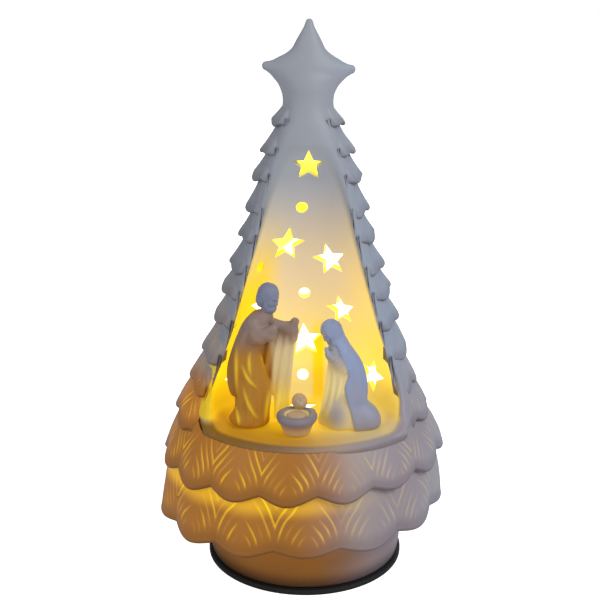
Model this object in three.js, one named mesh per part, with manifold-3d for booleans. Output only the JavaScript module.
// A lit porcelain Christmas tree. A slip-cast shell of scalloped bough rings carries a star on top and has
// a niche in its front, where four small castings stand. A battery light plugs into the hole of the foot.
// Millimetres, +Z up, the niche faces -Y, and the origin is the middle of the foot on the table.

import * as THREE from 'three';
import { mergeVertices } from 'three/addons/utils/BufferGeometryUtils.js';
import Module from 'manifold-3d';

const wasm = await Module();
wasm.setup();

// Fits
const SEAT_GAP = 0.3;          // between pieces that rest on each other
const RUNNING_GAP = 0.4;       // round pieces that move or drop in

// Cells and battery bay
const CELL_LENGTH = 43.5;      // AAA cell without its nub
const CELL_DIAMETER = 10.5;
const NUB_LENGTH = 1.0;
const NUB_DIAMETER = 3.8;
const CELL_SPACING = 0.5;
const CELL_COUNT = 3;
const SPRING_LENGTH = 3.4;
const SPRING_DIAMETER = 6.4;
const CONTACT_THICKNESS = 0.5;
const CONTACT_HEIGHT = 8.6;

// Light unit
const CASE_WALL = 1.8;
const FLOOR_THICKNESS = 1.6;
const TABLE_CLEARANCE = 1.0;   // the case hangs this far above the table
const FLANGE_WIDTH = 2.4;      // past the hole that the unit plugs into
const FLANGE_THICKNESS = 1.5;
const GASKET_THICKNESS = 1.9;
const GASKET_HEIGHT = 5.4;
const UPPER_DECK_HEIGHT = 8.6; // from the bay ceiling to the top cover
const COVER_THICKNESS = 1.6;
const COVER_LIP = 2.2;
const BOARD_RADIUS = 24;
const BOARD_THICKNESS = 1.6;
const STANDOFF_HEIGHT = 1.8;
const STANDOFF_RADIUS = 2.6;
const STANDOFF_CIRCLE = 20.5;
const SCREW_COUNT = 3;
const SCREW_HEAD_RADIUS = 1.9;
const SCREW_HEAD_HEIGHT = 1.2;
const SCREW_SHANK_RADIUS = 0.9;
const LED_COUNT = 4;
const LED_CIRCLE = 9.5;
const LED_RADIUS = 2.5;
const LED_HEIGHT = 8.4;
const DOME_RADIUS = 18.5;
const DOME_HEIGHT = 13;
const DOME_WALL = 1.2;
const DOME_FOOT = 2.2;
const RESISTOR_RADIUS = 1.1;
const RESISTOR_LENGTH = 6;
const LEAD_DIAMETER = 1.5;
const LEAD_MARGIN = 1.45;      // between the board's edge and the hole of a lead
const LEAD_SIDE_STEP = 0.6;    // the black lead's hole lies this far outside the switch's middle

// Battery door, its screw and the switch
const DOOR_SIDE_MARGIN = 0.9;
const HINGE_PIN_RADIUS = 0.8;
const HINGE_HEIGHT = 1.1;      // of the pin's middle above the case's underside
const PIVOT_RADIUS = 0.4;      // of the pin's ends, which snap into the housing
const PIVOT_LENGTH = 1.6;
const BAY_WALL = 1.2;
const TAB_WIDTH = 11;
const TAB_LENGTH = 5.6;
const DOOR_SCREW_HEAD_RADIUS = 2.3;
const DOOR_SCREW_HEAD_HEIGHT = 0.9;
const DOOR_SCREW_SHANK_RADIUS = 1.1;
const DOOR_SCREW_BITE = 2.6;
const BOSS_RADIUS = 2.3;
const SWITCH_WIDTH = 4.6;
const SWITCH_LENGTH = 9.4;
const SWITCH_HEIGHT = 4.2;
const KNOB_WIDTH = 2.2;
const KNOB_LENGTH = 3.2;
const KNOB_TRAVEL = 3;
const KNOB_PROUD = 0.5;
const SWITCH_OFFSET = 4.6;     // from the bay's side wall to the switch's middle

// Tree shell
const WALL = 3.4;
const FOOT_SEAT = 10.4;        // width of the foot's ring round the hole
const FOOT_TOP = 32;
const BASE_PLATE = 4;
const PAD_THICKNESS = 2.6;
const PAD_OVERHANG = 0.6;
const FACETS = 40;
const CHAMBER_FACETS = 24;
const FINE_LOBE_WIDTH = 26;    // lobes wider than this get one more facet
const CUSP_RISE = 0.16;        // of a lobe's width, from the lobe's lowest point up to its cusps
const CUSP_INSET = 0.085;      // of a lobe's width
const LIP_OVERHANG = 2.6;      // a bough's lip stands this far out over the next ring
const HAND_WORK = 0.8;         // uneven height of hand-finished lobes
const LIP_RADIUS = 59.8;       // of the niche's smooth front lip
const LIP_HALF_ANGLE = 60;

// Bough rings from the top down: largest radius, height of the lobes' lowest edge, lobes round the ring,
// and the azimuth in degrees of one lobe's middle, from the front towards +X
const BOUGH_RINGS = [
  { radius: 17.0, height: 212.0, lobes: 9, turn: 52 },
  { radius: 22.0, height: 200.5, lobes: 10, turn: 48 },
  { radius: 25.7, height: 188.5, lobes: 10, turn: 66 },
  { radius: 29.0, height: 173.5, lobes: 11, turn: 56 },
  { radius: 32.2, height: 161.0, lobes: 11, turn: 72 },
  { radius: 36.6, height: 147.0, lobes: 12, turn: 54 },
  { radius: 40.2, height: 135.0, lobes: 12, turn: 69 },
  { radius: 44.0, height: 121.5, lobes: 13, turn: 60 },
  { radius: 50.2, height: 105.0, lobes: 13, turn: 74 },
  { radius: 56.2, height: 90.0, lobes: 14, turn: 63 },
  { radius: 63.2, height: 75.0, lobes: 15, turn: 75 },
  { radius: 68.8, height: 55.5, lobes: 16, turn: -5.5 },
  { radius: 72.4, height: 31.0, lobes: 14, turn: 3 },
];

// Star topper
const STAR_RISE = 11.5;        // of the star's middle above the neck's waist
const STAR_REACH = 22;         // of the top point above the star's middle
const STAR_HALF_SPAN = 20.8;
const STAR_INNER = 10.6;
const STAR_HALF_THICKNESS = 7;
const NECK_RADIUS = 10.6;
const NECK_RISE = 14.5;        // of the neck's waist above the lip of the first ring

// Niche: at each height, the half width of its hollow, the chord where the hollow starts, and its back
const NICHE_FLOOR = 79.8;
const NICHE_WALL = 3.6;
const NICHE_FRONT = -90;
const NICHE_SECTIONS = [
  { z: 79.8, halfWidth: 36.0, chord: -31.0, back: -15.0 },
  { z: 82.5, halfWidth: 41.0, chord: -31.0, back: -6.0 },
  { z: 87.5, halfWidth: 43.0, chord: -31.0, back: 2.0 },
  { z: 95.0, halfWidth: 42.5, chord: -30.5, back: 6.0 },
  { z: 110.0, halfWidth: 38.0, chord: -28.5, back: 6.0 },
  { z: 125.0, halfWidth: 33.0, chord: -26.5, back: 4.0 },
  { z: 147.0, halfWidth: 26.5, chord: -23.5, back: 0.0 },
  { z: 163.0, halfWidth: 22.5, chord: -21.5, back: -3.5 },
  { z: 178.0, halfWidth: 19.0, chord: -20.0, back: -7.0 },
  { z: 192.0, halfWidth: 15.5, chord: -18.5, back: -11.0 },
  { z: 204.0, halfWidth: 12.5, chord: -17.5, back: -15.0 },
  { z: 213.0, halfWidth: 10.0, chord: -17.0, back: -18.4 },
];
const NICHE_ARC_STEPS = 12;
const RIM_FLARE = 5;

// Stars and dots punched through the niche wall: place across and up, radius, and turn in degrees
const PUNCHED_STARS = [
  { x: 0.5, z: 196.5, radius: 7.9, turn: 0 },
  { x: -9.2, z: 158.0, radius: 8.8, turn: -6 },
  { x: 10.6, z: 150.5, radius: 8.6, turn: 12 },
  { x: 16.4, z: 125.0, radius: 7.8, turn: 8 },
  { x: -20.5, z: 128.0, radius: 8.0, turn: 4 },
  { x: -0.6, z: 107.6, radius: 9.0, turn: 6 },
  { x: 31.1, z: 94.4, radius: 8.4, turn: -14 },
  { x: -33.0, z: 93.5, radius: 8.2, turn: 10 },
  { x: -1.3, z: 80.6, radius: 8.0, turn: 0 },
];
const PUNCHED_DOTS = [
  { x: -2.4, z: 176.1 },
  { x: -21.5, z: 148.6 },
  { x: -1.0, z: 132.5 },
  { x: -1.5, z: 91.0 },
];
const DOT_RADIUS = 2.75;
const STAR_WAIST = 0.45;       // inner radius of a star as a share of its outer one
const PUNCH_DEPTH = 9;

// Figures: sections from the floor up, each with its middle and its half widths
const FIGURE_FACETS = 14;
const STANDING_Y = -31;
const STANDING_ROBE = [
  { z: 0, x: -25.4, y: 0, rx: 9.0, ry: 8.0 },
  { z: 4.0, x: -25.5, y: 0, rx: 9.3, ry: 8.3 },
  { z: 8.5, x: -24.2, y: 0, rx: 8.0, ry: 7.4 },
  { z: 16.0, x: -23.4, y: 0, rx: 8.2, ry: 7.0 },
  { z: 24.0, x: -24.0, y: 0, rx: 7.5, ry: 6.4 },
  { z: 32.0, x: -24.8, y: 0, rx: 6.0, ry: 5.6 },
  { z: 38.5, x: -24.6, y: 0, rx: 5.6, ry: 5.2 },
  { z: 41.0, x: -22.4, y: -1.0, rx: 8.2, ry: 6.2 },
  { z: 47.0, x: -21.6, y: -1.0, rx: 7.6, ry: 6.2 },
  { z: 51.0, x: -20.0, y: -0.5, rx: 5.6, ry: 4.8 },
  { z: 55.0, x: -17.6, y: 0, rx: 2.8, ry: 2.8 },
  { z: 57.5, x: -17.0, y: 0, rx: 2.4, ry: 2.4 },
];
const STANDING_CLOAK = [
  { z: 15.5, x: -32.0, y: 1.5, rx: 1.8, ry: 4.0 },
  { z: 18.0, x: -32.2, y: 1.5, rx: 3.2, ry: 6.6 },
  { z: 26.0, x: -31.8, y: 1.5, rx: 3.9, ry: 7.4 },
  { z: 34.0, x: -30.2, y: 1.5, rx: 3.8, ry: 7.0 },
  { z: 42.0, x: -27.4, y: 1.5, rx: 3.8, ry: 6.4 },
  { z: 49.0, x: -24.0, y: 1.2, rx: 3.6, ry: 5.4 },
  { z: 54.0, x: -20.6, y: 0.8, rx: 2.6, ry: 3.6 },
];
const STANDING_STAFF_CLOTH = [
  { z: 0, x: -12.4, y: 4.0, rx: 1.7, ry: 1.6 },
  { z: 12.0, x: -12.2, y: 4.0, rx: 2.0, ry: 1.6 },
  { z: 24.0, x: -11.2, y: 3.6, rx: 3.0, ry: 1.7 },
  { z: 36.0, x: -9.6, y: 3.0, rx: 4.6, ry: 1.9 },
  { z: 43.5, x: -8.8, y: 2.4, rx: 5.4, ry: 2.2 },
  { z: 47.5, x: -9.4, y: 2.0, rx: 5.2, ry: 2.2 },
  { z: 50.5, x: -6.2, y: 2.0, rx: 1.8, ry: 1.6 },
];
const STANDING_ARM = { from: [-19, -31.5, 129.5], to: [-6, -29.2, 128.2], radius: 2.2 };
const STANDING_HEAD = { x: -16.9, y: -31, z: 141, rx: 4.8, ry: 4.9, rz: 6.6 };
const KNEELING_Y = -31;
const KNEELING_BODY = [
  { z: 0, x: 19.2, y: 0, rx: 13.6, ry: 8.6 },
  { z: 4.0, x: 19.2, y: 0, rx: 13.3, ry: 8.6 },
  { z: 8.0, x: 18.5, y: 0, rx: 11.6, ry: 8.0 },
  { z: 12.0, x: 17.5, y: 0, rx: 9.5, ry: 7.4 },
  { z: 18.0, x: 18.3, y: 0, rx: 9.3, ry: 7.0 },
  { z: 24.0, x: 18.4, y: 0, rx: 8.5, ry: 6.6 },
  { z: 30.0, x: 17.6, y: 0, rx: 7.0, ry: 6.2 },
  { z: 36.0, x: 16.2, y: 0, rx: 5.8, ry: 5.8 },
  { z: 40.0, x: 14.9, y: 0, rx: 5.5, ry: 5.0 },
  { z: 43.5, x: 13.2, y: 0, rx: 6.4, ry: 4.8 },
  { z: 47.0, x: 10.9, y: 0, rx: 5.2, ry: 4.6 },
  { z: 50.0, x: 9.8, y: 0, rx: 3.2, ry: 3.2 },
  { z: 51.4, x: 9.8, y: 0, rx: 1.2, ry: 1.2 },
];
const KNEELING_ARM = { from: [18.5, -35.2, 108.5], to: [8.6, -36.4, 114.5], radius: 2.1 };
const MANGER_X = -4;
const MANGER_Y = -41.4;
const MANGER_BASE_RADIUS = 6.4;
const MANGER_RIM_RADIUS = 9.3;
const MANGER_HEIGHT = 9.8;
const MANGER_RIM_HEIGHT = 4.2;
const MANGER_DISH_RADIUS = 6.0;
const MANGER_DISH_DEPTH = 2.2;
const INFANT_BODY = { rx: 3.5, ry: 5.0, rz: 2.4 };
const INFANT_HEAD_RADIUS = 3.1;

// Heights and radii that follow from the sizes above
const bayHalfWidth = (CELL_COUNT * CELL_DIAMETER + (CELL_COUNT + 1) * CELL_SPACING) / 2;
const cellRun = CELL_LENGTH + NUB_LENGTH + SPRING_LENGTH;
const bayHalfLength = cellRun / 2 + CONTACT_THICKNESS + 2 * SEAT_GAP;
const caseBottom = TABLE_CLEARANCE;
const caseFloorTop = caseBottom + FLOOR_THICKNESS;
const caseInner = Math.hypot(bayHalfWidth + DOOR_SIDE_MARGIN, bayHalfLength + DOOR_SIDE_MARGIN) + 1.2;
const caseRadius = caseInner + CASE_WALL;
const holeRadius = caseRadius + SEAT_GAP + GASKET_THICKNESS + SEAT_GAP;
const flangeRadius = holeRadius + FLANGE_WIDTH;
const padInnerRadius = flangeRadius + RUNNING_GAP;
const footRadius = holeRadius + FOOT_SEAT;
const footBottom = PAD_THICKNESS + SEAT_GAP;
const cellHeight = caseFloorTop + SEAT_GAP + CELL_DIAMETER / 2;
const ceilingBottom = cellHeight + CELL_DIAMETER / 2 + CELL_SPACING;
const ceilingTop = ceilingBottom + FLOOR_THICKNESS;
const boardBottom = ceilingTop + STANDOFF_HEIGHT + SEAT_GAP;
const boardTop = boardBottom + BOARD_THICKNESS;
const coverBottom = ceilingTop + UPPER_DECK_HEIGHT;
const coverTop = coverBottom + COVER_THICKNESS;
const doorHalfWidth = bayHalfWidth + DOOR_SIDE_MARGIN - RUNNING_GAP;
const hingeY = bayHalfLength + DOOR_SIDE_MARGIN - HINGE_PIN_RADIUS;
const hingeZ = caseBottom + HINGE_HEIGHT;
const doorScrewY = -(bayHalfLength + TAB_LENGTH / 2);
const switchX = bayHalfWidth + SWITCH_OFFSET;
const neckHeight = BOUGH_RINGS[0].height + NECK_RISE;
const starMiddle = neckHeight + STAR_RISE;

const porcelain = { color: 0xf1efec, roughness: 0.55, metalness: 0 };
const whitePlastic = { color: 0xe9e7e1, roughness: 0.45, metalness: 0 };
const blackRubber = { color: 0x151515, roughness: 0.85, metalness: 0 };
const steel = { color: 0xb9bcc0, roughness: 0.3, metalness: 1 };
const part = new THREE.Group();

// Turn a closed three.js geometry into a solid that can be joined and cut
function solid(geometry) {
  const bare = geometry.index ? geometry.toNonIndexed() : geometry.clone();
  bare.deleteAttribute('normal');
  bare.deleteAttribute('uv');
  const merged = mergeVertices(bare, 1e-4);
  const vertProperties = new Float32Array(merged.attributes.position.array);
  const triVerts = new Uint32Array(merged.index.array);
  return new wasm.Manifold(new wasm.Mesh({ numProp: 3, vertProperties, triVerts }));
}

// Turn a joined or cut solid back into a geometry
function geometryOf(manifold) {
  const mesh = manifold.getMesh();
  const geometry = new THREE.BufferGeometry();
  geometry.setAttribute('position', new THREE.BufferAttribute(mesh.vertProperties, 3));
  geometry.setIndex(new THREE.BufferAttribute(mesh.triVerts, 1));
  return geometry;
}

// Add one named piece to the part
function add(name, shape, look) {
  const geometry = shape.isBufferGeometry ? shape : geometryOf(shape);
  geometry.computeVertexNormals();
  const mesh = new THREE.Mesh(geometry, new THREE.MeshStandardMaterial(look));
  mesh.name = name;
  part.add(mesh);
}

// Join a list of solids into one
function join(solids) {
  return solids.reduce((whole, next) => whole.add(next));
}

// A point by radius, azimuth from the front and height
function polar(radius, azimuth, z) {
  return new THREE.Vector3(radius * Math.sin(azimuth), -radius * Math.cos(azimuth), z);
}

// A closed body through rings of points, all with the same count, from the lowest to the highest
function loft(rings) {
  const count = rings[0].length;
  const points = rings.flat();
  const index = [];
  for (let row = 0; row + 1 < rings.length; row += 1) {
    for (let i = 0; i < count; i += 1) {
      const a = row * count + i;
      const b = row * count + (i + 1) % count;
      index.push(a, b, b + count, a, b + count, a + count);
    }
  }
  const last = (rings.length - 1) * count;
  const centre = (ring) => ring.reduce((sum, p) => sum.add(p), new THREE.Vector3()).divideScalar(count);
  points.push(centre(rings[0]), centre(rings[rings.length - 1]));
  for (let i = 0; i < count; i += 1) {
    const next = (i + 1) % count;
    index.push(points.length - 2, next, i);
    index.push(points.length - 1, last + i, last + next);
  }
  const geometry = new THREE.BufferGeometry().setFromPoints(points);
  geometry.setIndex(index);
  return geometry;
}

// A round body about the vertical axis, from [radius, height] pairs that start and end on the axis
function turned(profile, facets = FACETS, x = 0, y = 0) {
  const outline = profile.map(([r, z]) => new THREE.Vector2(r, z));
  const geometry = new THREE.LatheGeometry(outline, facets);
  geometry.rotateX(Math.PI / 2);
  geometry.translate(x, y, 0);
  return geometry;
}

function disc(radius, bottom, top, facets = FACETS, x = 0, y = 0) {
  return turned([[0, bottom], [radius, bottom], [radius, top], [0, top]], facets, x, y);
}

// A ring with a rectangular section
function washer(inner, outer, bottom, top, facets = FACETS) {
  return turned([[inner, bottom], [outer, bottom], [outer, top], [inner, top], [inner, bottom]], facets);
}

function box(low, high) {
  const size = low.map((value, i) => high[i] - value);
  const geometry = new THREE.BoxGeometry(...size);
  geometry.translate(...low.map((value, i) => (value + high[i]) / 2));
  return geometry;
}

// A round rod along Y
function rodAlongY(radius, from, to, x, z, facets = 16) {
  const geometry = new THREE.CylinderGeometry(radius, radius, to - from, facets);
  geometry.translate(x, (from + to) / 2, z);
  return geometry;
}

function ellipsoid({ x, y, z, rx, ry, rz }, around = 12, along = 8) {
  const geometry = new THREE.SphereGeometry(1, around, along);
  geometry.rotateX(Math.PI / 2);
  geometry.scale(rx, ry, rz);
  geometry.translate(x, y, z);
  return geometry;
}

// A rod with round ends between two points
function limb({ from, to, radius }) {
  const start = new THREE.Vector3(...from);
  const end = new THREE.Vector3(...to);
  const geometry = new THREE.CapsuleGeometry(radius, start.distanceTo(end), 3, 8);
  const along = end.clone().sub(start).normalize();
  geometry.applyQuaternion(new THREE.Quaternion().setFromUnitVectors(new THREE.Vector3(0, 1, 0), along));
  geometry.translate(...start.add(end).multiplyScalar(0.5).toArray());
  return geometry;
}

// An insulated wire through points
function lead(points) {
  const path = new THREE.CatmullRomCurve3(points.map((p) => new THREE.Vector3(...p)));
  const section = new THREE.Shape();
  section.absarc(0, 0, LEAD_DIAMETER / 2, 0, 2 * Math.PI);
  return new THREE.ExtrudeGeometry(section, { extrudePath: path, steps: 14, curveSegments: 4 });
}

// Bough rings. A ring of lobes falls outwards from under the ring above and ends in a rounded lip.
// At the cusps between its lobes the lip is drawn up and in.
function withCusps(ring) {
  const lobeWidth = ring.radius * 2 * Math.PI / ring.lobes;
  return { ...ring, rise: CUSP_RISE * lobeWidth, inset: CUSP_INSET * lobeWidth };
}

function inFront(azimuth) {
  return Math.cos(azimuth) > Math.cos(THREE.MathUtils.degToRad(LIP_HALF_ANGLE));
}

function boughRing(ring, above) {
  const fine = ring.inset > CUSP_INSET * FINE_LOBE_WIDTH;
  const perLobe = fine ? 4 : 3;
  const columns = [];
  for (let i = 0; i < ring.lobes * perLobe; i += 1) {
    const place = i / perLobe + 0.5;
    const lobe = Math.round(place);
    const offCentre = 2 * Math.abs(place - lobe);
    const azimuth = THREE.MathUtils.degToRad(ring.turn) + place / ring.lobes * 2 * Math.PI;
    const smooth = ring.smoothFront && inFront(azimuth);
    const radius = smooth ? LIP_RADIUS : ring.radius;
    const aboveRadius = above.smoothFront && inFront(azimuth) ? LIP_RADIUS : above.radius;
    const startRadius = aboveRadius - LIP_OVERHANG;
    const rows = [
      { radius: radius - 3 * LIP_OVERHANG, z: ring.height + 1.4, shaped: 0.3 },
      { radius: radius - 1.2, z: ring.height, shaped: 1 },
      { radius, z: ring.height + 2.2, shaped: 1 },
      { radius: (radius + startRadius) / 2 + 0.7, z: (ring.height + above.height) / 2 + 1, shaped: 0.45 },
      { radius: startRadius, z: above.height - 1.2, shaped: 0 },
      { radius: startRadius - above.inset - 2, z: above.height + above.rise + 2.5, shaped: 0 },
    ];
    if (fine) {
      rows.splice(3, 0, { radius: radius - 0.7, z: ring.height + 4.4, shaped: 0.9 });
    }
    const uneven = HAND_WORK * Math.sin(2.3 * (lobe % ring.lobes) + ring.lobes) * (1 - offCentre);
    columns.push(rows.map((row) => {
      const shaped = smooth ? 0 : row.shaped;
      const cusp = offCentre * offCentre * shaped;
      return polar(row.radius - ring.inset * cusp, azimuth, row.z + ring.rise * cusp + uneven * shaped);
    }));
  }
  return loft(columns[0].map((_, row) => columns.map((column) => column[row])));
}

function boughs() {
  const solids = [];
  let above = { radius: NECK_RADIUS + LIP_OVERHANG, height: neckHeight, rise: 0, inset: 0 };
  BOUGH_RINGS.map(withCusps).forEach((plain) => {
    const smoothFront = plain.height < NICHE_FLOOR && above.height > NICHE_FLOOR;
    const ring = { ...plain, smoothFront };
    solids.push(solid(boughRing(ring, above)));
    above = ring;
  });
  return join(solids);
}

// The outline of a five-pointed star with its first point up
function starOutline(radius, waist, turn = 0) {
  const points = [];
  for (let i = 0; i < 10; i += 1) {
    const reach = i % 2 === 0 ? radius : radius * waist;
    const angle = Math.PI / 2 + i * Math.PI / 5 + turn;
    points.push(new THREE.Vector2(reach * Math.cos(angle), reach * Math.sin(angle)));
  }
  return points;
}

// Star topper: puffed up from its outline, with a longer point at the top
function topper() {
  const waist = STAR_INNER / STAR_HALF_SPAN;
  const layer = (share, y) => starOutline(STAR_HALF_SPAN / Math.cos(Math.PI / 10), waist).map((p, i) => {
    const reach = i === 0 ? STAR_REACH : p.y;
    return new THREE.Vector3(p.x * share, y, starMiddle + reach * share);
  });
  return loft([
    layer(0.5, STAR_HALF_THICKNESS),
    layer(0.94, STAR_HALF_THICKNESS * 0.4),
    layer(1, 0),
    layer(0.94, -STAR_HALF_THICKNESS * 0.4),
    layer(0.5, -STAR_HALF_THICKNESS),
  ]);
}

function neck() {
  const firstRing = BOUGH_RINGS[0];
  return turned([
    [0, firstRing.height], [firstRing.radius - 3, firstRing.height], [NECK_RADIUS, neckHeight],
    [NECK_RADIUS * 0.94, neckHeight + 4], [NECK_RADIUS * 0.5, starMiddle], [0, starMiddle],
  ], 24);
}

// Niche. Its hollow is half round in plan and flares at the rim, and its back curves over at the top.
function nicheRing(section, grow) {
  const { halfWidth, chord, back } = section;
  const points = [];
  for (let i = 0; i <= NICHE_ARC_STEPS; i += 1) {
    const angle = i / NICHE_ARC_STEPS * Math.PI;
    const x = (halfWidth + grow) * Math.cos(angle);
    points.push(new THREE.Vector3(x, chord + (back + grow - chord) * Math.sin(angle), section.z));
  }
  const flared = halfWidth + RIM_FLARE + grow;
  const beyond = halfWidth + 6 * RIM_FLARE + grow;
  points.push(new THREE.Vector3(-flared, chord - RIM_FLARE, section.z));
  points.push(new THREE.Vector3(-beyond, chord - 2 * RIM_FLARE, section.z));
  points.push(new THREE.Vector3(-beyond, NICHE_FRONT, section.z));
  points.push(new THREE.Vector3(beyond, NICHE_FRONT, section.z));
  points.push(new THREE.Vector3(beyond, chord - 2 * RIM_FLARE, section.z));
  points.push(new THREE.Vector3(flared, chord - RIM_FLARE, section.z));
  return points;
}

function nicheHollow() {
  const top = NICHE_SECTIONS[NICHE_SECTIONS.length - 1];
  const rings = NICHE_SECTIONS.map((section) => nicheRing(section, 0));
  rings.push(nicheRing({ ...top, z: top.z + 4, back: top.back - 6 }, 0));
  return solid(loft(rings));
}

function nicheBacking() {
  const top = NICHE_SECTIONS[NICHE_SECTIONS.length - 1];
  const bottom = NICHE_SECTIONS[0];
  const rings = NICHE_SECTIONS.map((section) => nicheRing(section, NICHE_WALL));
  rings.unshift(nicheRing({ ...bottom, z: bottom.z - NICHE_WALL }, 0));
  rings.push(nicheRing({ ...top, z: top.z + 8 }, NICHE_WALL));
  return solid(loft(rings));
}

// The back of the hollow at a place across and up
function nicheBackAt(x, z) {
  const above = NICHE_SECTIONS.findIndex((section) => section.z >= z);
  const high = NICHE_SECTIONS[Math.max(above, 1)];
  const low = NICHE_SECTIONS[Math.max(above, 1) - 1];
  const share = (z - low.z) / (high.z - low.z);
  const mix = (key) => low[key] + (high[key] - low[key]) * share;
  const across = Math.min(Math.abs(x) / mix('halfWidth'), 1);
  return mix('chord') + (mix('back') - mix('chord')) * Math.sqrt(1 - across * across);
}

// A punch set square to the niche wall
function punch(outline, x, z) {
  const step = 1;
  const y = nicheBackAt(x, z);
  const slopeX = (nicheBackAt(x + step, z) - nicheBackAt(x - step, z)) / (2 * step);
  const slopeZ = (nicheBackAt(x, z + step) - nicheBackAt(x, z)) / step;
  const geometry = new THREE.ExtrudeGeometry(new THREE.Shape(outline), {
    depth: PUNCH_DEPTH, bevelEnabled: false, curveSegments: 12,
  });
  geometry.translate(0, 0, -PUNCH_DEPTH / 2);
  const towardsFront = new THREE.Vector3(slopeX, -1, slopeZ).normalize();
  const across = new THREE.Vector3(0, 0, 1).cross(towardsFront).normalize();
  const up = towardsFront.clone().cross(across);
  geometry.applyMatrix4(new THREE.Matrix4().makeBasis(across, up, towardsFront));
  geometry.translate(x, y, z);
  return solid(geometry);
}

function circleOutline(radius, count) {
  return Array.from({ length: count }, (_, i) => {
    const angle = i / count * 2 * Math.PI;
    return new THREE.Vector2(radius * Math.cos(angle), radius * Math.sin(angle));
  });
}

function punches() {
  const stars = PUNCHED_STARS.map(({ x, z, radius, turn }) => {
    const outline = starOutline(radius, STAR_WAIST, THREE.MathUtils.degToRad(turn));
    return punch(outline, x, z);
  });
  const dots = PUNCHED_DOTS.map(({ x, z }) => punch(circleOutline(DOT_RADIUS, 12), x, z));
  return join([...stars, ...dots]);
}

// The room inside the shell, from the hole in the foot to the top ring
function chamber() {
  const inner = footRadius - WALL;
  const profile = [[0, -1], [holeRadius, -1], [holeRadius, footBottom + BASE_PLATE]];
  profile.push([inner, footBottom + BASE_PLATE]);
  const lowest = BOUGH_RINGS[BOUGH_RINGS.length - 1];
  profile.push([inner, lowest.height + 1.5 * WALL]);
  profile.push([lowest.radius - 3 * LIP_OVERHANG - WALL, lowest.height + 2 * WALL]);
  BOUGH_RINGS.slice(1, -1).map(withCusps).reverse().forEach((ring) => {
    profile.push([ring.radius - LIP_OVERHANG - ring.inset - WALL, ring.height - 1.2]);
  });
  profile.push([0, BOUGH_RINGS[0].height - WALL]);
  return solid(turned(profile, CHAMBER_FACETS));
}

function treeShell() {
  const foot = solid(disc(footRadius, footBottom, FOOT_TOP + 2));
  const outside = join([boughs(), foot, solid(topper()), solid(neck())]);
  const backing = nicheBacking().intersect(outside);
  return outside.subtract(chamber()).add(backing).subtract(nicheHollow()).subtract(punches());
}

// Figures: bodies through round sections, joined into one casting each
function figureBody(sections, floorY, facets = FIGURE_FACETS) {
  return solid(loft(sections.map((section) => {
    const ring = [];
    for (let i = 0; i < facets; i += 1) {
      const angle = i / facets * 2 * Math.PI;
      ring.push(new THREE.Vector3(
        section.x + section.rx * Math.cos(angle),
        floorY + section.y + section.ry * Math.sin(angle),
        NICHE_FLOOR + SEAT_GAP + section.z,
      ));
    }
    return ring;
  })));
}

function standingFigure() {
  return join([
    figureBody(STANDING_ROBE, STANDING_Y),
    figureBody(STANDING_CLOAK, STANDING_Y, 10),
    figureBody(STANDING_STAFF_CLOTH, STANDING_Y, 10),
    solid(limb(STANDING_ARM)),
    solid(ellipsoid(STANDING_HEAD)),
  ]);
}

function kneelingFigure() {
  return join([figureBody(KNEELING_BODY, KNEELING_Y), solid(limb(KNEELING_ARM))]);
}

function manger() {
  const base = NICHE_FLOOR + SEAT_GAP;
  const top = base + MANGER_HEIGHT;
  const rimBottom = top - MANGER_RIM_HEIGHT;
  return turned([
    [0, base], [MANGER_BASE_RADIUS, base], [MANGER_RIM_RADIUS - 1.4, rimBottom],
    [MANGER_RIM_RADIUS, rimBottom + 0.8], [MANGER_RIM_RADIUS, top - 1.2], [MANGER_RIM_RADIUS - 1.4, top],
    [MANGER_DISH_RADIUS + 0.6, top - 0.4], [MANGER_DISH_RADIUS, top - MANGER_DISH_DEPTH],
    [0, top - MANGER_DISH_DEPTH],
  ], 20, MANGER_X, MANGER_Y);
}

// The infant lies on the dish with the head over the back of the rim
function infant() {
  const rimTop = NICHE_FLOOR + SEAT_GAP + MANGER_HEIGHT;
  const dish = rimTop - MANGER_DISH_DEPTH;
  const bodyZ = dish + SEAT_GAP + INFANT_BODY.rz;
  const headY = MANGER_Y + MANGER_DISH_RADIUS - 0.6;
  const headZ = rimTop + SEAT_GAP + INFANT_HEAD_RADIUS - 0.5;
  const body = ellipsoid({ ...INFANT_BODY, x: MANGER_X, y: MANGER_Y - 0.4, z: bodyZ });
  const head = ellipsoid({
    x: MANGER_X + 0.6, y: headY, z: headZ,
    rx: INFANT_HEAD_RADIUS, ry: INFANT_HEAD_RADIUS, rz: INFANT_HEAD_RADIUS,
  });
  const clearOfRim = manger();
  clearOfRim.translate(0, 0, SEAT_GAP);
  return solid(body).add(solid(head)).subtract(solid(clearOfRim));
}

// Light unit
function spanOf(i) {
  return (i - (CELL_COUNT - 1) / 2) * (CELL_DIAMETER + CELL_SPACING);
}

// Cells lie side by side and turn about, so the nub of every second one points to -Y
function cell(i) {
  const towards = i % 2 === 0 ? 1 : -1;
  const springEnd = -towards * (cellRun / 2 - SPRING_LENGTH);
  const canEnd = springEnd + towards * CELL_LENGTH;
  const nubEnd = canEnd + towards * NUB_LENGTH;
  const can = rodAlongY(CELL_DIAMETER / 2, Math.min(springEnd, canEnd), Math.max(springEnd, canEnd),
    spanOf(i), cellHeight, 20);
  const nub = rodAlongY(NUB_DIAMETER / 2, Math.min(canEnd - towards, nubEnd),
    Math.max(canEnd - towards, nubEnd), spanOf(i), cellHeight, 12);
  return solid(can).add(solid(nub));
}

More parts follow.
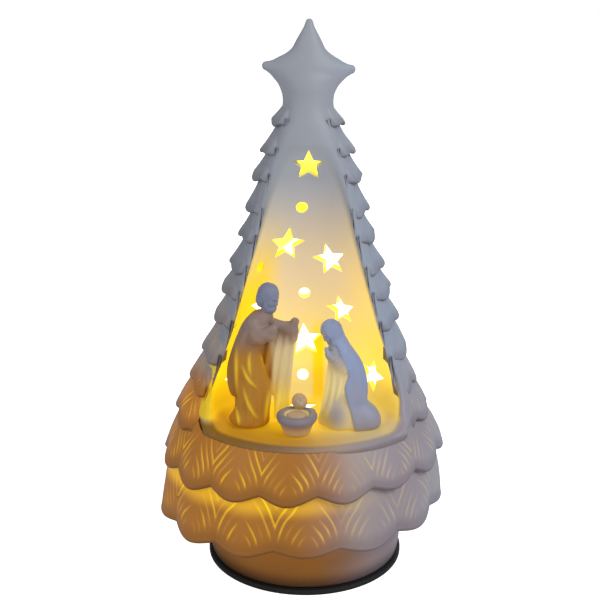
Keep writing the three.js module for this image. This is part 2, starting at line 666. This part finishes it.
function contactSpring(i) {
  const towards = i % 2 === 0 ? -1 : 1;
  const length = SPRING_LENGTH - SEAT_GAP;
  const geometry = new THREE.CylinderGeometry(SPRING_DIAMETER / 2, SPRING_DIAMETER / 3, length, 12);
  if (towards < 0) {
    geometry.rotateZ(Math.PI);
  }
  geometry.translate(spanOf(i), towards * (cellRun / 2 - SPRING_LENGTH / 2), cellHeight);
  return geometry;
}

// Contact plates: two join neighbouring cells, two stand alone and take the leads
function contactPlate(first, last, towards) {
  const halfWidth = CELL_DIAMETER / 2 - CELL_SPACING;
  const inner = cellRun / 2 + SEAT_GAP;
  const ends = [towards * inner, towards * (inner + CONTACT_THICKNESS)];
  return box(
    [spanOf(first) - halfWidth, Math.min(...ends), cellHeight - CONTACT_HEIGHT / 2],
    [spanOf(last) + halfWidth, Math.max(...ends), cellHeight + CONTACT_HEIGHT / 2],
  );
}

// The door drops into the case floor: its outline reaches from the hinge to the screw's tab
function doorSolid(clearance) {
  const bottom = caseBottom - (clearance > 0 ? 1 : 0);
  const top = caseFloorTop + (clearance > 0 ? 1 : 0);
  const half = doorHalfWidth + clearance;
  const end = bayHalfLength + clearance;
  const hingeEnd = clearance > 0 ? hingeY + HINGE_HEIGHT + clearance : hingeY;
  const plate = solid(box([-half, -end, bottom], [half, hingeEnd, top]));
  const tabHalf = TAB_WIDTH / 2 + clearance;
  return plate.add(solid(box([-tabHalf, -end - TAB_LENGTH, bottom], [tabHalf, 0, top])));
}

function screwBoss() {
  const boss = solid(disc(BOSS_RADIUS, caseFloorTop + SEAT_GAP, ceilingBottom + 0.5, 16, 0, doorScrewY));
  const bore = solid(disc(DOOR_SCREW_SHANK_RADIUS + RUNNING_GAP, caseFloorTop,
    caseFloorTop + DOOR_SCREW_BITE + 2, 12, 0, doorScrewY));
  return boss.subtract(bore);
}

function standoffAngle(i) {
  return Math.PI / 6 + i / SCREW_COUNT * 2 * Math.PI;
}

function aroundBoard(i, make) {
  const angle = standoffAngle(i);
  return make(STANDOFF_CIRCLE * Math.cos(angle), STANDOFF_CIRCLE * Math.sin(angle));
}

// Walls round the cells hang from the bay's ceiling, and the switch's lead passes through one of them
function bayWalls() {
  const bottom = hingeZ + HINGE_PIN_RADIUS + SEAT_GAP;
  const top = ceilingBottom + BAY_WALL / 2;
  const outer = solid(box(
    [-bayHalfWidth - BAY_WALL, -bayHalfLength - BAY_WALL, bottom],
    [bayHalfWidth + BAY_WALL, bayHalfLength + BAY_WALL, top],
  ));
  const inner = solid(box(
    [-bayHalfWidth, -bayHalfLength, bottom - 1],
    [bayHalfWidth, bayHalfLength, top + 1],
  ));
  const leadSlot = solid(box(
    [bayHalfWidth - 1, -bayHalfLength - 0.1, cellHeight - 2 * LEAD_DIAMETER],
    [bayHalfWidth + 2 * BAY_WALL, -bayHalfLength + 3 * LEAD_DIAMETER, cellHeight + LEAD_DIAMETER],
  ));
  return outer.subtract(inner).subtract(leadSlot);
}

// Sockets beside the door for the ends of its hinge pin
function hingeSockets() {
  const start = doorHalfWidth + RUNNING_GAP;
  const end = start + PIVOT_LENGTH + SEAT_GAP + BAY_WALL;
  return [-1, 1].map((side) => solid(box(
    [Math.min(side * start, side * end), hingeY - 2, caseBottom],
    [Math.max(side * start, side * end), hingeY + 2, hingeZ + PIVOT_RADIUS + SEAT_GAP + 0.8],
  )));
}

function hingePin(radius, halfLength) {
  const pin = new THREE.CylinderGeometry(radius, radius, 2 * halfLength, 12);
  pin.rotateZ(Math.PI / 2);
  pin.translate(0, hingeY, hingeZ);
  return solid(pin);
}

function lightHousing() {
  let housing = solid(turned([
    [0, caseBottom], [flangeRadius, caseBottom], [flangeRadius, caseBottom + FLANGE_THICKNESS],
    [caseRadius, caseBottom + FLANGE_THICKNESS], [caseRadius, coverBottom + COVER_THICKNESS],
    [caseInner, coverBottom + COVER_THICKNESS], [caseInner, ceilingTop], [0, ceilingTop],
  ]));
  housing = housing.subtract(solid(disc(caseInner, caseFloorTop, ceilingBottom)));
  housing = housing.subtract(doorSolid(RUNNING_GAP));
  const slotHalf = [KNOB_WIDTH / 2 + RUNNING_GAP, (KNOB_LENGTH + KNOB_TRAVEL) / 2 + RUNNING_GAP];
  const slotMiddle = -KNOB_TRAVEL / 2;
  housing = housing.subtract(solid(box(
    [switchX - slotHalf[0], slotMiddle - slotHalf[1], caseBottom - 1],
    [switchX + slotHalf[0], slotMiddle + slotHalf[1], caseFloorTop + 1],
  )));
  housing = join([housing, bayWalls(), ...hingeSockets()]);
  const socketDepth = RUNNING_GAP + PIVOT_LENGTH + SEAT_GAP;
  housing = housing.subtract(hingePin(PIVOT_RADIUS + SEAT_GAP, doorHalfWidth + socketDepth));
  for (const [x, y] of [leadHoles.red, leadHoles.black]) {
    housing = housing.subtract(solid(disc(LEAD_DIAMETER / 2 + RUNNING_GAP, ceilingBottom - 1.5,
      ceilingTop + 1, 12, x, y)));
  }
  const standoffs = Array.from({ length: SCREW_COUNT }, (_, i) => aroundBoard(i, (x, y) => (
    solid(disc(STANDOFF_RADIUS, ceilingTop - 0.5, ceilingTop + STANDOFF_HEIGHT, 12, x, y))
  )));
  return join([housing, screwBoss(), ...standoffs]);
}

function circuitBoard() {
  let board = solid(disc(BOARD_RADIUS, boardBottom, boardTop, 32));
  for (let i = 0; i < SCREW_COUNT; i += 1) {
    board = board.subtract(aroundBoard(i, (x, y) => (
      solid(disc(SCREW_SHANK_RADIUS + SEAT_GAP, boardBottom - 1, boardTop + 1, 10, x, y))
    )));
  }
  return board;
}

function boardScrew(i) {
  const head = boardTop + SEAT_GAP;
  return aroundBoard(i, (x, y) => turned([
    [0, ceilingTop + STANDOFF_HEIGHT + SEAT_GAP / 2],
    [SCREW_SHANK_RADIUS, ceilingTop + STANDOFF_HEIGHT + SEAT_GAP / 2],
    [SCREW_SHANK_RADIUS, head], [SCREW_HEAD_RADIUS, head], [SCREW_HEAD_RADIUS, head + SCREW_HEAD_HEIGHT],
    [0, head + SCREW_HEAD_HEIGHT],
  ], 10, x, y));
}

function led(i) {
  const base = boardTop + SEAT_GAP;
  const angle = (i + 0.5) / LED_COUNT * 2 * Math.PI;
  return turned([
    [0, base], [LED_RADIUS + 0.4, base], [LED_RADIUS + 0.4, base + 1], [LED_RADIUS, base + 1],
    [LED_RADIUS, base + LED_HEIGHT - LED_RADIUS], [LED_RADIUS * 0.7, base + LED_HEIGHT - 0.7],
    [0, base + LED_HEIGHT],
  ], 12, LED_CIRCLE * Math.cos(angle), LED_CIRCLE * Math.sin(angle));
}

function lightCover() {
  const rim = caseInner - SEAT_GAP;
  const opening = DOME_RADIUS - DOME_FOOT - 1.5;
  return turned([
    [opening, coverBottom], [rim - COVER_LIP, coverBottom], [rim - COVER_LIP, coverBottom - 2],
    [rim, coverBottom - 2], [rim, coverTop], [opening, coverTop], [opening, coverBottom],
  ]);
}

function diffuserDome() {
  const base = coverTop + SEAT_GAP;
  const outer = [];
  const inner = [];
  const arcSteps = 6;
  for (let i = 0; i <= arcSteps; i += 1) {
    const angle = i / arcSteps * Math.PI / 2;
    outer.push([DOME_RADIUS * Math.cos(angle), base + 2 + (DOME_HEIGHT - 2) * Math.sin(angle)]);
    inner.unshift([(DOME_RADIUS - DOME_WALL) * Math.cos(angle),
      base + 2 + (DOME_HEIGHT - 2 - DOME_WALL) * Math.sin(angle)]);
  }
  outer[arcSteps][0] = 0;
  inner[0][0] = 0;
  return turned([...inner, [DOME_RADIUS - DOME_WALL, base], [DOME_RADIUS, base], ...outer], 20);
}

function resistor() {
  const z = boardTop + SEAT_GAP + RESISTOR_RADIUS;
  const geometry = rodAlongY(RESISTOR_RADIUS, -RESISTOR_LENGTH / 2, RESISTOR_LENGTH / 2, 0, z, 10);
  geometry.rotateZ(Math.PI / 2);
  return geometry;
}

function batteryDoor() {
  const pins = hingePin(HINGE_PIN_RADIUS, doorHalfWidth)
    .add(hingePin(PIVOT_RADIUS, doorHalfWidth + RUNNING_GAP + PIVOT_LENGTH));
  const screwHole = solid(disc(DOOR_SCREW_SHANK_RADIUS + RUNNING_GAP, caseBottom - 1, caseFloorTop + 1, 12,
    0, doorScrewY));
  const headRecess = solid(disc(DOOR_SCREW_HEAD_RADIUS + RUNNING_GAP, caseBottom - 1,
    caseBottom + DOOR_SCREW_HEAD_HEIGHT, 16, 0, doorScrewY));
  return doorSolid(0).add(pins).subtract(screwHole).subtract(headRecess);
}

// The screw's head sits in the recess of the door's tab, and a cross is cut into it
function doorScrew() {
  const headTop = caseBottom + DOOR_SCREW_HEAD_HEIGHT - SEAT_GAP;
  const headBottom = caseBottom - 0.1;
  const screw = solid(turned([
    [0, headBottom], [DOOR_SCREW_HEAD_RADIUS, headBottom], [DOOR_SCREW_HEAD_RADIUS, headTop],
    [DOOR_SCREW_SHANK_RADIUS, headTop], [DOOR_SCREW_SHANK_RADIUS, caseFloorTop + DOOR_SCREW_BITE],
    [0, caseFloorTop + DOOR_SCREW_BITE + 0.6],
  ], 16, 0, doorScrewY));
  const slotHalf = DOOR_SCREW_HEAD_RADIUS * 0.7;
  const slotDepth = (headTop - headBottom) * 0.55;
  const slots = [[slotHalf, 0.3], [0.3, slotHalf]].map(([hx, hy]) => solid(box(
    [-hx, doorScrewY - hy, headBottom - 1], [hx, doorScrewY + hy, headBottom + slotDepth],
  )));
  return screw.subtract(join(slots));
}

const switchBottom = caseFloorTop + SEAT_GAP;
const knobTop = switchBottom + 1.6;

function switchBody() {
  const outer = solid(box(
    [switchX - SWITCH_WIDTH / 2, -KNOB_TRAVEL / 2 - SWITCH_LENGTH / 2, switchBottom],
    [switchX + SWITCH_WIDTH / 2, -KNOB_TRAVEL / 2 + SWITCH_LENGTH / 2, switchBottom + SWITCH_HEIGHT],
  ));
  const trackHalfWidth = KNOB_WIDTH / 2 + RUNNING_GAP;
  const trackEnd = KNOB_LENGTH / 2 + RUNNING_GAP;
  const track = solid(box(
    [switchX - trackHalfWidth, -KNOB_TRAVEL - trackEnd, switchBottom - 1],
    [switchX + trackHalfWidth, trackEnd, knobTop + RUNNING_GAP],
  ));
  return outer.subtract(track);
}

function switchKnob() {
  return box(
    [switchX - KNOB_WIDTH / 2, -KNOB_LENGTH / 2, caseBottom - KNOB_PROUD],
    [switchX + KNOB_WIDTH / 2, KNOB_LENGTH / 2, knobTop],
  );
}

// Where the leads pass through the bay's ceiling, outside the board's edge
const leadCircle = BOARD_RADIUS + LEAD_DIAMETER / 2 + RUNNING_GAP + LEAD_MARGIN;
const blackLeadX = switchX + LEAD_SIDE_STEP;
const leadHoles = {
  red: [spanOf(0), cellRun / 2 + SEAT_GAP + CONTACT_THICKNESS / 2],
  black: [blackLeadX, -Math.sqrt(leadCircle ** 2 - blackLeadX ** 2)],
};

// The end of a lead stands on its pad of the board
function overBoard(x, y) {
  return [[x, y, boardTop + 2.4], [x, y, boardTop + 1.4], [x, y, boardTop + SEAT_GAP + 0.1]];
}

function redLead() {
  const [x, y] = leadHoles.red;
  return lead([
    [x, y, cellHeight + CONTACT_HEIGHT / 2 + SEAT_GAP], [x, y, ceilingBottom], [x, y, ceilingTop + 1],
    [x, y, boardTop], [x * 0.95, y * 0.95, boardTop + 2.6], [x * 0.84, y * 0.84, boardTop + 3.4],
    ...overBoard(x * 0.74, y * 0.74),
  ]);
}

function blackLead() {
  const [x, y] = leadHoles.black;
  const switchMiddle = -KNOB_TRAVEL / 2;
  const switchTop = switchBottom + SWITCH_HEIGHT + SEAT_GAP;
  return lead([
    [switchX, switchMiddle, switchTop], [switchX, switchMiddle - 0.6, switchTop + 1.4],
    [x, switchMiddle - 4, switchTop + 3], [x, y + 3.4, ceilingBottom - 2.4],
    [x, y + 0.4, ceilingBottom - 1],
    [x, y, ceilingBottom + 0.6], [x, y, ceilingTop + 1], [x, y, boardTop],
    [x * 0.95, y * 0.95, boardTop + 2.6], [x * 0.84, y * 0.84, boardTop + 3.4],
    ...overBoard(x * 0.74, y * 0.74),
  ]);
}

function switchLead() {
  const plateEdge = spanOf(CELL_COUNT - 1) + CELL_DIAMETER / 2 - CELL_SPACING + SEAT_GAP;
  const plateY = -(cellRun / 2 + SEAT_GAP + CONTACT_THICKNESS / 2);
  const bodyEnd = -KNOB_TRAVEL / 2 - SWITCH_LENGTH / 2 - SEAT_GAP;
  const z = switchBottom + SWITCH_HEIGHT / 2;
  return lead([
    [plateEdge, plateY, cellHeight], [bayHalfWidth + BAY_WALL, plateY + 1.3, cellHeight - 0.4],
    [switchX - 1, plateY + 6, z + 1.2], [switchX, bodyEnd - 5, z], [switchX, bodyEnd, z],
  ]);
}

add('tree_shell', treeShell(), porcelain);
add('standing_figure', standingFigure(), porcelain);
add('kneeling_figure', kneelingFigure(), porcelain);
add('manger', manger(), porcelain);
add('infant', infant(), porcelain);
add('anti_slip_ring', washer(padInnerRadius, footRadius + PAD_OVERHANG, 0, PAD_THICKNESS), blackRubber);
add('light_gasket', washer(caseRadius + SEAT_GAP, holeRadius - SEAT_GAP,
  caseBottom + FLANGE_THICKNESS + SEAT_GAP, caseBottom + FLANGE_THICKNESS + SEAT_GAP + GASKET_HEIGHT),
{ color: 0xd9d6cd, roughness: 0.8, metalness: 0 });
add('light_housing', lightHousing(), whitePlastic);
add('light_cover', lightCover(), whitePlastic);
add('diffuser_dome', diffuserDome(), { color: 0xfff3d8, roughness: 0.6, metalness: 0 });
for (let i = 0; i < LED_COUNT; i += 1) {
  add(`led_${i + 1}`, led(i), { color: 0xffe9a8, roughness: 0.15, metalness: 0 });
}
add('circuit_board', circuitBoard(), { color: 0x1f5a36, roughness: 0.5, metalness: 0 });
add('resistor', resistor(), { color: 0xcbb58a, roughness: 0.5, metalness: 0 });
for (let i = 0; i < SCREW_COUNT; i += 1) {
  add(`board_screw_${i + 1}`, boardScrew(i), steel);
}
for (let i = 0; i < CELL_COUNT; i += 1) {
  add(`battery_${i + 1}`, cell(i), { color: 0x3b6b54, roughness: 0.35, metalness: 0.4 });
  add(`contact_spring_${i + 1}`, contactSpring(i), steel);
}
add('contact_plate_1', contactPlate(0, 0, 1), steel);
add('contact_plate_2', contactPlate(1, 2, 1), steel);
add('contact_plate_3', contactPlate(0, 1, -1), steel);
add('contact_plate_4', contactPlate(2, 2, -1), steel);
add('switch_body', switchBody(), { color: 0x1b1b1d, roughness: 0.5, metalness: 0 });
add('switch_knob', switchKnob(), { color: 0x1b1b1d, roughness: 0.5, metalness: 0 });
add('battery_door', batteryDoor(), whitePlastic);
add('door_screw', doorScrew(), steel);
add('red_lead', redLead(), { color: 0xb3201c, roughness: 0.5, metalness: 0 });
add('black_lead', blackLead(), { color: 0x17171a, roughness: 0.5, metalness: 0 });
add('switch_lead', switchLead(), { color: 0x17171a, roughness: 0.5, metalness: 0 });

export default part;
